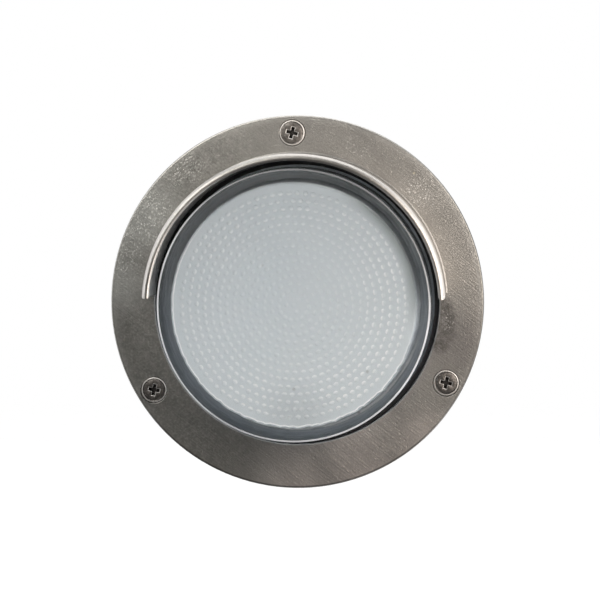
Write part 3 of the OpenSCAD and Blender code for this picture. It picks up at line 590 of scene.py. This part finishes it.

# The etched front is a cool grey, with painted light towards the lower right, painted shade of the hood at
# the top, and one soft darker patch near the bottom
tone = blended(tree, slow, rgb(0.645, 0.70, 0.735), rgb(0.675, 0.72, 0.755))
# Painted light towards the lower right
tone = tinted(tree, tone, rgb(0.67, 0.715, 0.74), lit_low_right)
# Painted shade of the hood over the top of the front
tone = tinted(tree, tone, rgb(0.47, 0.51, 0.535), high, 0.36)
dim_patch = near_any(tree, ((272, 42, 20),), 0.1)
tone = tinted(tree, tone, rgb(0.40, 0.43, 0.45), dim_patch, 0.35)

# Each dimple gets a painted highlight on its side nearest the middle, most in the outer rings and towards the
# lower right
facing = along(tree, add(tree, "NewGeometry").outputs["Normal"], outward)
uneven = use(tree, mottle, Scale=260.0, Detail=1.0)["Value"]
dimple_highlight = times(tree, spread(tree, facing, 0.14, -0.18, 0.12, 1.0),
                 spread(tree, depth, etched_y - 0.01 * MM, etched_y - 0.05 * MM),
                 spread(tree, uneven, 0.0, 1.0, 0.7, 1.0),
                 spread(tree, radius, 17 * MM, 37 * MM, 0.3, 0.95),
                 spread(tree, lit_low_right, 0.0, 1.0, 0.5, 1.1),
                 maths(tree, "SUBTRACT", 1.0, times(tree, dim_patch, 0.6)))
tone = tinted(tree, tone, rgb(0.98, 0.985, 0.99), dimple_highlight, 0.85)

# A painted highlight runs round the front's edge at the lower left
front_edge_highlight = times(tree, spread(tree, depth, etched_y + 0.01 * MM, etched_y + 0.06 * MM),
                 spread(tree, depth, etched_y + 0.30 * MM, etched_y + 0.22 * MM),
                 spread(tree, along(tree, place, (-0.55, 0, -0.85)), -14 * MM, 8 * MM))
tone = tinted(tree, tone, rgb(0.96, 0.97, 0.98), front_edge_highlight, 0.9)

# The wall behind the front is drawn with hairlines, which are keenest close to its two ends
slip = use(tree, mottle, Scale=120.0, Detail=1.0)["Value"]
stretched = add(tree, "CombineXYZ", {"X": times(tree, depth, 2600.0), "Y": times(tree, radius, 1500.0),
                                     "Z": times(tree, slip, 1.2)}).outputs[0]
drawn = add(tree, "TexNoise", {"Vector": stretched, "Scale": 1.0, "Detail": 2.0}).outputs["Fac"]
drawn_lines = spread(tree, drawn, 0.38, 0.62)
at_foot = spread(tree, depth, foot_end_y - 0.4 * MM, foot_end_y - 0.2 * MM)
out_on_foot = times(tree, at_foot, spread(tree, radius, base_in_r + 1 * MM, foot_r - 2 * MM, 0.0, 0.7),
                    spread(tree, high, 0.4, 1.0, 1.0, 0.2))
# Painted light and shade: the wall is lighter towards the top and darker towards the bottom
wall_tone = blended(tree, high, rgb(0.54, 0.60, 0.67), rgb(0.90, 0.95, 0.98))
wall_tone = tinted(tree, wall_tone, rgb(0.20, 0.23, 0.25), out_on_foot)
wall_tone = tinted(tree, wall_tone, rgb(0.40, 0.42, 0.42), slow, 0.2)
wall_tone = tinted(tree, wall_tone, rgb(0.10, 0.13, 0.16), drawn_lines, 0.28)
shade_angle = math.radians(28)
shade_side = along(tree, outward, (math.cos(shade_angle), 0, math.sin(shade_angle)))
foot_corner = times(tree, at_foot, spread(tree, radius, base_in_r + 2.4 * MM, base_in_r + 1 * MM))
front_corner = spread(tree, depth, etched_y + 7 * MM, etched_y + 1 * MM)
# Painted light: the hairlines show strongest on the lower right and away from the hood's shade
near_corner = times(tree, maths(tree, "MAXIMUM", foot_corner, front_corner),
                    spread(tree, lit_low_right, 0.3, 0.9, 0.25, 0.8),
                    spread(tree, shade_side, 0.85, 0.5))
hairs = blended(tree, drawn_lines, rgb(0.34, 0.39, 0.42), rgb(0.97, 0.98, 0.98))
wall_tone = tinted(tree, wall_tone, hairs, near_corner)
behind_front = spread(tree, depth, etched_y + 0.28 * MM, etched_y + 0.34 * MM)
tone = tinted(tree, tone, wall_tone, behind_front)

# The hood's soft shade lies on the front's edge at the upper right
rim_shade = times(tree, spread(tree, radius, etched_r - 4.0 * MM, etched_r + 1.1 * MM),
                  spread(tree, shade_side, 0.74, 0.97, 0.0, 0.85),
                  spread(tree, depth, etched_y + 1.0 * MM, etched_y + 0.5 * MM))
tone = tinted(tree, tone, rgb(0.22, 0.25, 0.255), rim_shade)
tone = tinted(tree, tone, rgb(0.4, 0.41, 0.41), specks)
input_of(tree, shader, "Base Color", tone)
input_of(tree, shader, "Roughness", spread(tree, slow, 0.0, 1.0, 0.32, 0.48))
relief(tree, shader, fine, 0.04 * MM)

# The front's outer edge is ground round and left matt. Painted shade of the hood darkens its upper part
ground_glass, tree, shader = finish_of("ground_glass", rgb(0.70, 0.72, 0.74), 0.3)
ground = use(tree, mottle, Scale=120.0, Detail=3.0)["Value"]
hood_shade = spread(tree, along(tree, place_on(tree), (0.3, 0, 0.95)), -5 * MM, 40 * MM)
tone = blended(tree, ground, rgb(0.68, 0.70, 0.74), rgb(0.82, 0.85, 0.89))
input_of(tree, shader, "Base Color", tinted(tree, tone, rgb(0.15, 0.16, 0.17), hood_shade, 0.9))
relief(tree, shader, use(tree, mottle, Scale=1500.0)["Value"], 0.02 * MM)

for face in cup.faces:
    middle = face.calc_center_median()
    r = middle.xz.length
    inside = middle.y > etched_y - 1 * MM and r < base_in_r + 0.6 * MM
    on_foot_end = middle.y > foot_end_y - 0.05 * MM
    on_edge = middle.y < lens_tip_y + tip_round and r > tip_r - tip_round
    face.material_index = 1 if inside or on_foot_end else 2 if on_edge else 0
add_piece("glass_cup", cup, "fitting", [clear_glass, etched_glass, ground_glass], "lens_glass",
          "lens", sharp=40)

# Trim ring
# One casting in stainless steel: the flat ring, its rim and the half-round hood. It is blasted and
# then brushed by hand, its edges carry painted highlights, and three screws hold it to the housing.
hole_r = 53.2 * MM
hood_out_r = hole_r + 2.5 * MM
ring_out_r = 70 * MM
hood_tip_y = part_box("trim_ring")[0].y
plate_y = hood_tip_y + hood_reach
screw_r = 63.4 * MM
screw_angles = (91.6, 211.6, 331.6)
countersink_r = 5.2 * MM
worn_patches = ((152, 67, 19), (130, 68, 13), (166, 67, 12), (42, 62, 13), (68, 63, 8), (-8, 57, 6))
shade_smudges = ((-2, 55.0, 5), (-6, 55.6, 6.5), (-11, 55.6, 6.5), (-16, 55.5, 5))
lit_brushed_patches = ((290, 62, 31), (270, 70, 24))
lighter_patches = ((152, 66, 24), (174, 68, 18), (268, 71, 22), (291, 68, 18), (313, 69, 16))
shaded_patches = ((347, 63, 24),)

# Straight strokes in one direction, as a belt leaves them
strokes, given, result = group("strokes", {"Angle": -0.66, "Scale": 1800.0, "Length": 0.03}, ["Value"])
laid = add(strokes, "VectorRotate", {"Vector": place_on(strokes), "Angle": given["Angle"]},
           rotation_type="Y_AXIS")
drawn_out = add(strokes, "CombineXYZ", {"X": given["Length"], "Y": 1.0, "Z": 1.0})
long = vector_maths(strokes, "MULTIPLY", laid.outputs[0], drawn_out.outputs[0])
streak = add(strokes, "TexNoise", {"Vector": long, "Scale": given["Scale"], "Detail": 2.0})
strokes.links.new(spread(strokes, streak.outputs["Fac"], 0.3, 0.7), result["Value"])

nicks = scored("nicks", (-0.35, -0.7), thinness=4.0, wander=0.002)

satin_steel, tree, shader = finish_of("satin_steel", rgb(0.52, 0.49, 0.46), 0.42, metallic=1.0)
slow = use(tree, mottle, Scale=22.0)["Value"]
cloudy = use(tree, mottle, Scale=90.0, Detail=5.0)["Value"]
coarse = use(tree, mottle, Scale=420.0, Detail=5.0)["Value"]
sandy = use(tree, mottle, Scale=1100.0, Detail=3.0)["Value"]
blast = use(tree, mottle, Scale=1300.0, Detail=3.0)["Value"]
grain = use(tree, mottle, Scale=2200.0, Detail=2.0)["Value"]
belt = use(tree, strokes, Scale=1900.0, Length=0.035)["Value"]
pocks = use(tree, pits, Scale=620.0, Width=0.3, Share=0.16)["Value"]
grit = use(tree, pits, Scale=230.0, Width=0.15, Share=0.07)["Value"]
glints = use(tree, nicks, Scale=800.0, Width=0.45, Share=0.36)["Value"]
hair = use(tree, scratches, Scale=480.0, Width=0.28, Share=0.22)["Value"]
axis = use(tree, axis_place)
radius = axis["Radius"]
depth = axis["Depth"]
across = along(tree, place_on(tree), (1, 0, 0))
up = along(tree, place_on(tree), (0, 0, 1))
on_left = spread(tree, across, 10 * MM, -45 * MM)
low = spread(tree, up, -30 * MM, -58 * MM)
at_top = spread(tree, up, 38 * MM, 52 * MM)

# The blasted skin, the belt's grain over it, coarser sand marks on the left, and a painted highlight along
# the outer edge
tone = blended(tree, slow, rgb(0.53, 0.505, 0.475), rgb(0.58, 0.55, 0.515))
tone = tinted(tree, tone, rgb(0.42, 0.41, 0.385), cloudy, 0.22)
tone = tinted(tree, tone, rgb(0.30, 0.29, 0.27), grain, 0.58)
tone = tinted(tree, tone, rgb(0.32, 0.30, 0.29), belt, 0.26)
tone = tinted(tree, tone, rgb(0.26, 0.25, 0.24), pocks, 0.5)
tone = tinted(tree, tone, rgb(0.20, 0.21, 0.18), times(tree, coarse, on_left), 0.45)
# Painted highlight along the outer edge, except at the bottom
outer_edge_highlight = times(tree, spread(tree, radius, ring_out_r - 3.6 * MM, ring_out_r - 0.4 * MM),
                   maths(tree, "SUBTRACT", 1.0, low))
tone = tinted(tree, tone, rgb(0.85, 0.84, 0.80), outer_edge_highlight, 0.25)
sanded = times(tree, spread(tree, sandy, 0.45, 1.0), on_left)
tone = tinted(tree, tone, rgb(0.80, 0.80, 0.75), sanded, 0.3)

# Patches of painted light and painted shade, and a dark patch below the hood's right end that is painted
# shade and a stain
# Painted light in patches at the bottom and lower right, streaked with the belt's strokes
lit_brushed = times(tree, near_any(tree, lit_brushed_patches, 0.1), spread(tree, belt, 0.0, 1.0, 0.9, 0.45))
tone = tinted(tree, tone, rgb(0.89, 0.81, 0.76), lit_brushed, 0.8)
# Painted light in lighter patches round the ring, warmer on the right
pale = blended(tree, spread(tree, across, -35 * MM, 5 * MM), rgb(0.86, 0.86, 0.82), rgb(0.92, 0.83, 0.78))
tone = tinted(tree, tone, pale, near_any(tree, lighter_patches, 0.1), 0.5)
tone = tinted(tree, tone, rgb(0.29, 0.27, 0.26), near_any(tree, shaded_patches, 0.1), 0.65)
# A dark patch below the hood's right end, painted shade and a stain
shade_and_stain = times(tree, near_any(tree, shade_smudges, 0.35), spread(tree, coarse, 0.1, 0.9, 0.45, 0.95),
                spread(tree, grain, 0.2, 0.8, 0.7, 1.0))
tone = tinted(tree, tone, rgb(0.15, 0.14, 0.13), shade_and_stain)

# Nicks and scratches where the ring is worn, painted near-white as glints, and odd grains of grit
worn = times(tree, near_any(tree, worn_patches, 0.3), spread(tree, cloudy, 0.0, 0.6, 0.3, 1.0),
             spread(tree, across, -10 * MM, 30 * MM, 1.0, 0.55))
marks = times(tree, maths(tree, "MAXIMUM", times(tree, glints, 0.95), times(tree, hair, 0.6)), worn)
tone = tinted(tree, tone, rgb(0.95, 0.86, 0.66), grit)
# The marks are painted near-white and less metallic, as painted glints
tone = tinted(tree, tone, rgb(0.97, 0.96, 0.94), marks)
input_of(tree, shader, "Metallic", maths(tree, "SUBTRACT", 1.0, times(tree, marks, 0.85)))

# The ring's outer edge is dark where it turns away from the light, at the bottom and far right
turned_away = maths(tree, "MAXIMUM", times(tree, low, 0.8),
                    spread(tree, across, 52 * MM, 66 * MM, 0.35, 0.75))
rim_edge = times(tree, spread(tree, radius, ring_out_r - 1.1 * MM, ring_out_r - 0.5 * MM), turned_away)
tone = tinted(tree, tone, rgb(0.13, 0.125, 0.115), rim_edge)

# Painted shade darkens the hood's root, the plate beside it, its left side and all of its inside
off_plate = spread(tree, depth, plate_y - 0.2 * MM, plate_y - 0.6 * MM)
hood_root = times(tree, spread(tree, depth, plate_y - 16 * MM, plate_y - 4 * MM),
                  spread(tree, radius, hood_out_r + 0.25 * MM, hood_out_r + 0.1 * MM),
                  spread(tree, depth, plate_y - 0.15 * MM, plate_y - 0.5 * MM))
tone = tinted(tree, tone, rgb(0.17, 0.16, 0.15), hood_root, 0.6)
beside_hood = times(tree, spread(tree, radius, hood_out_r + 1.3 * MM, hood_out_r + 0.3 * MM),
                    spread(tree, up, 0, 8 * MM),
                    spread(tree, depth, plate_y - 0.3 * MM, plate_y - 0.1 * MM))
tone = tinted(tree, tone, rgb(0.22, 0.21, 0.20), beside_hood, 0.45)
hood_side = times(tree, spread(tree, depth, hood_tip_y + 0.9 * MM, hood_tip_y + 1.5 * MM), off_plate,
                  spread(tree, across, 5 * MM, 35 * MM, 0.55, 0.0))
tone = tinted(tree, tone, rgb(0.26, 0.25, 0.235), hood_side)
inner_wall = times(tree, spread(tree, radius, hole_r + 0.3 * MM, hole_r + 0.1 * MM),
                   spread(tree, depth, hood_tip_y + 1.2 * MM, hood_tip_y + 2.4 * MM))
tone = tinted(tree, tone, rgb(0.03, 0.03, 0.034), inner_wall, 0.95)

# Painted shade darkens the middle of the hood's rim, its inner lip and its top, and painted highlights
# brighten its outer lip and the edge of the hole, least at the top
at_tip = spread(tree, depth, hood_tip_y + 1.5 * MM, hood_tip_y + 1.1 * MM)
shaded_rim_face = times(tree, at_tip, spread(tree, radius, hole_r + 1.3 * MM, hole_r + 0.9 * MM))
tone = tinted(tree, tone, rgb(0.13, 0.12, 0.11), shaded_rim_face, 0.55)
inner_lip = times(tree, at_tip, spread(tree, radius, hole_r + 0.55 * MM, hole_r + 0.35 * MM),
                  spread(tree, across, 25 * MM, -15 * MM, 0.3, 0.9))
tone = tinted(tree, tone, rgb(0.05, 0.05, 0.05), inner_lip)
tone = tinted(tree, tone, rgb(0.24, 0.23, 0.22), times(tree, at_tip, at_top), 0.4)
hole_edge = times(tree, spread(tree, radius, hole_r + 0.75 * MM, hole_r + 0.45 * MM),
                  spread(tree, depth, plate_y + 0.5 * MM, plate_y + 0.3 * MM))
outer_lip = times(tree, at_tip, spread(tree, radius, hole_r + 1.0 * MM, hole_r + 1.4 * MM))
lit_edges = maths(tree, "MAXIMUM", outer_lip, hole_edge)
keen = maths(tree, "MAXIMUM", spread(tree, across, 15 * MM, 42 * MM, 0.7, 0.5),
             spread(tree, across, -38 * MM, -52 * MM, 0.5, 0.95))
keen = times(tree, keen, maths(tree, "SUBTRACT", 1.0, at_top))
tone = tinted(tree, tone, rgb(0.82, 0.79, 0.76), times(tree, lit_edges, keen))
# Painted shade in the countersinks round the screw heads
countersinks = [(angle, screw_r / MM, countersink_r / MM) for angle in screw_angles]
tone = tinted(tree, tone, rgb(0.06, 0.056, 0.05), near_any(tree, countersinks, 0.96), 0.85)
input_of(tree, shader, "Base Color", tone)
rough = spread(tree, cloudy, 0.0, 1.0, 0.36, 0.40)
input_of(tree, shader, "Roughness", maths(tree, "ADD", rough, times(tree, lit_edges, 0.05)))

# The hood's rim looks rounder than it is cast, because brushing has worn its outer half away
tilt = spread(tree, radius, hole_r + 0.5 * MM, hole_r + 2.3 * MM, 0.0,
              spread(tree, across, 5 * MM, 40 * MM, 1.0, 0.8))
sideways = vector_maths(tree, "SCALE", outward_of(tree), maths(tree, "SINE", tilt))
ahead = vector_maths(tree, "SCALE", (0, -1, 0), maths(tree, "COSINE", tilt))
on_rim = times(tree, at_tip, spread(tree, radius, hole_r + 0.5 * MM, hole_r + 0.8 * MM))
worn_round = add(tree, "Mix", {"Factor": on_rim, 4: add(tree, "NewGeometry").outputs["Normal"],
                               5: vector_maths(tree, "ADD", sideways, ahead)}, data_type="VECTOR")
height = maths(tree, "ADD", times(tree, blast, 0.45), times(tree, belt, 0.35))
height = maths(tree, "SUBTRACT", height, maths(tree, "ADD", pocks, times(tree, hair, 0.4)))
height = maths(tree, "ADD", height, times(tree, marks, 1.2))
relief(tree, shader, height, 0.04 * MM, Normal=worn_round.outputs[1])
dress(satin_steel, "trim_ring")

# Cover screws
# Three stainless countersunk screws that hold the ring and the glass. Each head has a rounded rim,
# a fine turned groove and a tapered cross recess, as punched.
screw_low, screw_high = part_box("cover_screws")
cross_turns = (-15, -10, -12)
off_centre = ((-0.12, 0.10), (0.10, 0.08), (0.14, 0.10))
head_r = 4.82 * MM
head_y = screw_low.y
rim_round = 0.5 * MM
flat_r = head_r - 2 * rim_round
shank_r = 2.5 * MM
groove_r = head_r - 0.8 * MM
groove_half = 0.15 * MM
groove_depth = 0.08 * MM
cross_span = 4.8 * MM
arm_width = 1.4 * MM
cross_depth = 2.0 * MM
pit_width = 2.3 * MM
pit_depth = 1.3 * MM
lip_width = 0.13 * MM
screw_steps = 72


def cut_from(bm, cutter):
    """Takes one bmesh out of another and returns the result."""
    pair = []
    for name, each in (("blank", bm), ("punch", cutter)):
        bmesh.ops.recalc_face_normals(each, faces=each.faces)
        mesh = bpy.data.meshes.new(name)
        each.to_mesh(mesh)
        each.free()
        pair.append(bpy.data.objects.new(name, mesh))
        bpy.context.scene.collection.objects.link(pair[-1])
    blank, punch = pair
    cut = blank.modifiers.new("cut", "BOOLEAN")
    cut.operation = "DIFFERENCE"
    cut.solver = "EXACT"
    cut.use_self = True
    cut.object = punch
    bpy.context.view_layer.update()
    done = bmesh.new()
    done.from_object(blank, bpy.context.evaluated_depsgraph_get())
    for each in pair:
        mesh = each.data
        bpy.data.objects.remove(each)
        bpy.data.meshes.remove(mesh)
    return done


screw_steel = plated("screw_steel", rgb(0.25, 0.23, 0.215), rgb(0.13, 0.12, 0.11), 0.45, scale=1100.0)
shaded_recess_steel = plated("shaded_recess_steel", rgb(0.18, 0.165, 0.155), rgb(0.05, 0.047, 0.045), 0.30, scale=1200.0)
burnished_highlight = plated("burnished_edge", rgb(0.92, 0.89, 0.86), rgb(0.78, 0.75, 0.72), 0.45, scale=700.0,
                   metallic=0.45)
screws = bmesh.new()
for place_angle, cross_turn, (shift_x, shift_z) in zip(screw_angles, cross_turns, off_centre):
    # The blank: a head with its groove and rounded rim, a cone at 45 degrees and the shank
    cone_foot_y = head_y + rim_round + head_r - shank_r
    blank = turned([(0, head_y), (groove_r - groove_half, head_y), (groove_r, head_y + groove_depth),
                    (groove_r + groove_half, head_y)]
                   + bow((head_r - rim_round, head_y + rim_round), rim_round, -90, 0, 5)
                   + [(shank_r, cone_foot_y), (shank_r, screw_high.y), (0, screw_high.y)],
                   screw_steps)

    # The punch: two tapered arms across each other and a square pit that fills their corners
    punch = bmesh.new()
    arms = [(cross_span, arm_width, cross_depth, turn) for turn in (0, 90)]
    for length, width, sunk_to, turn in arms + [(pit_width, pit_width, pit_depth, 45)]:
        arm = bmesh.ops.create_cube(punch, size=1)["verts"]
        for v in arm:
            at_bottom = v.co.y > 0
            v.co.x *= length * (0.5 if at_bottom else 1.0)
            v.co.z *= width * (0.7 if at_bottom else 1.0)
            v.co.y = head_y + (sunk_to if at_bottom else -0.3 * MM)
        bmesh.ops.rotate(punch, verts=arm, matrix=Matrix.Rotation(math.radians(turn), 3, "Y"))
    bmesh.ops.rotate(punch, verts=punch.verts, matrix=Matrix.Rotation(-math.radians(cross_turn), 3, "Y"))
    cut = cut_from(blank, punch)
    lip = [e for e in cut.edges if len(e.link_faces) == 2 and e.calc_face_angle(0) > 0.9
           and all(abs(v.co.y - head_y) < 0.02 * MM and v.co.xz.length < flat_r for v in e.verts)]
    bmesh.ops.bevel(cut, geom=lip, offset=lip_width, segments=2, profile=0.5, affect="EDGES", material=-1)
    bmesh.ops.recalc_face_normals(cut, faces=cut.faces)

    # Rim and recess lips are burnished and painted bright as highlights, and the recess and the groove are
    # painted darker as shade
    for face in cut.faces:
        middle = face.calc_center_median()
        r = middle.xz.length
        central = r < flat_r
        lipped = central and middle.y < head_y + 0.2 * MM and abs(face.normal.y) < 0.97
        rounded = r > head_r - rim_round and middle.y < head_y + rim_round
        grooved = abs(r - groove_r) < 0.14 * MM and middle.y < head_y + 0.1 * MM
        sunk = grooved or central and head_y + 0.2 * MM < middle.y < head_y + cross_depth * 1.1
        face.material_index = 2 if lipped or rounded else 1 if sunk else 0
    a = math.radians(place_angle)
    spot = Vector((screw_r * math.cos(a) + shift_x * MM, 0, screw_r * math.sin(a) + shift_z * MM))
    bmesh.ops.translate(cut, verts=cut.verts, vec=spot)
    one = bpy.data.meshes.new("screw")
    cut.to_mesh(one)
    cut.free()
    screws.from_mesh(one)
    bpy.data.meshes.remove(one)
add_piece("cross_screws", screws, "fitting", [screw_steel, shaded_recess_steel, burnished_highlight], "screw_steel",
          "cover_screws")

bpy.context.view_layer.update()
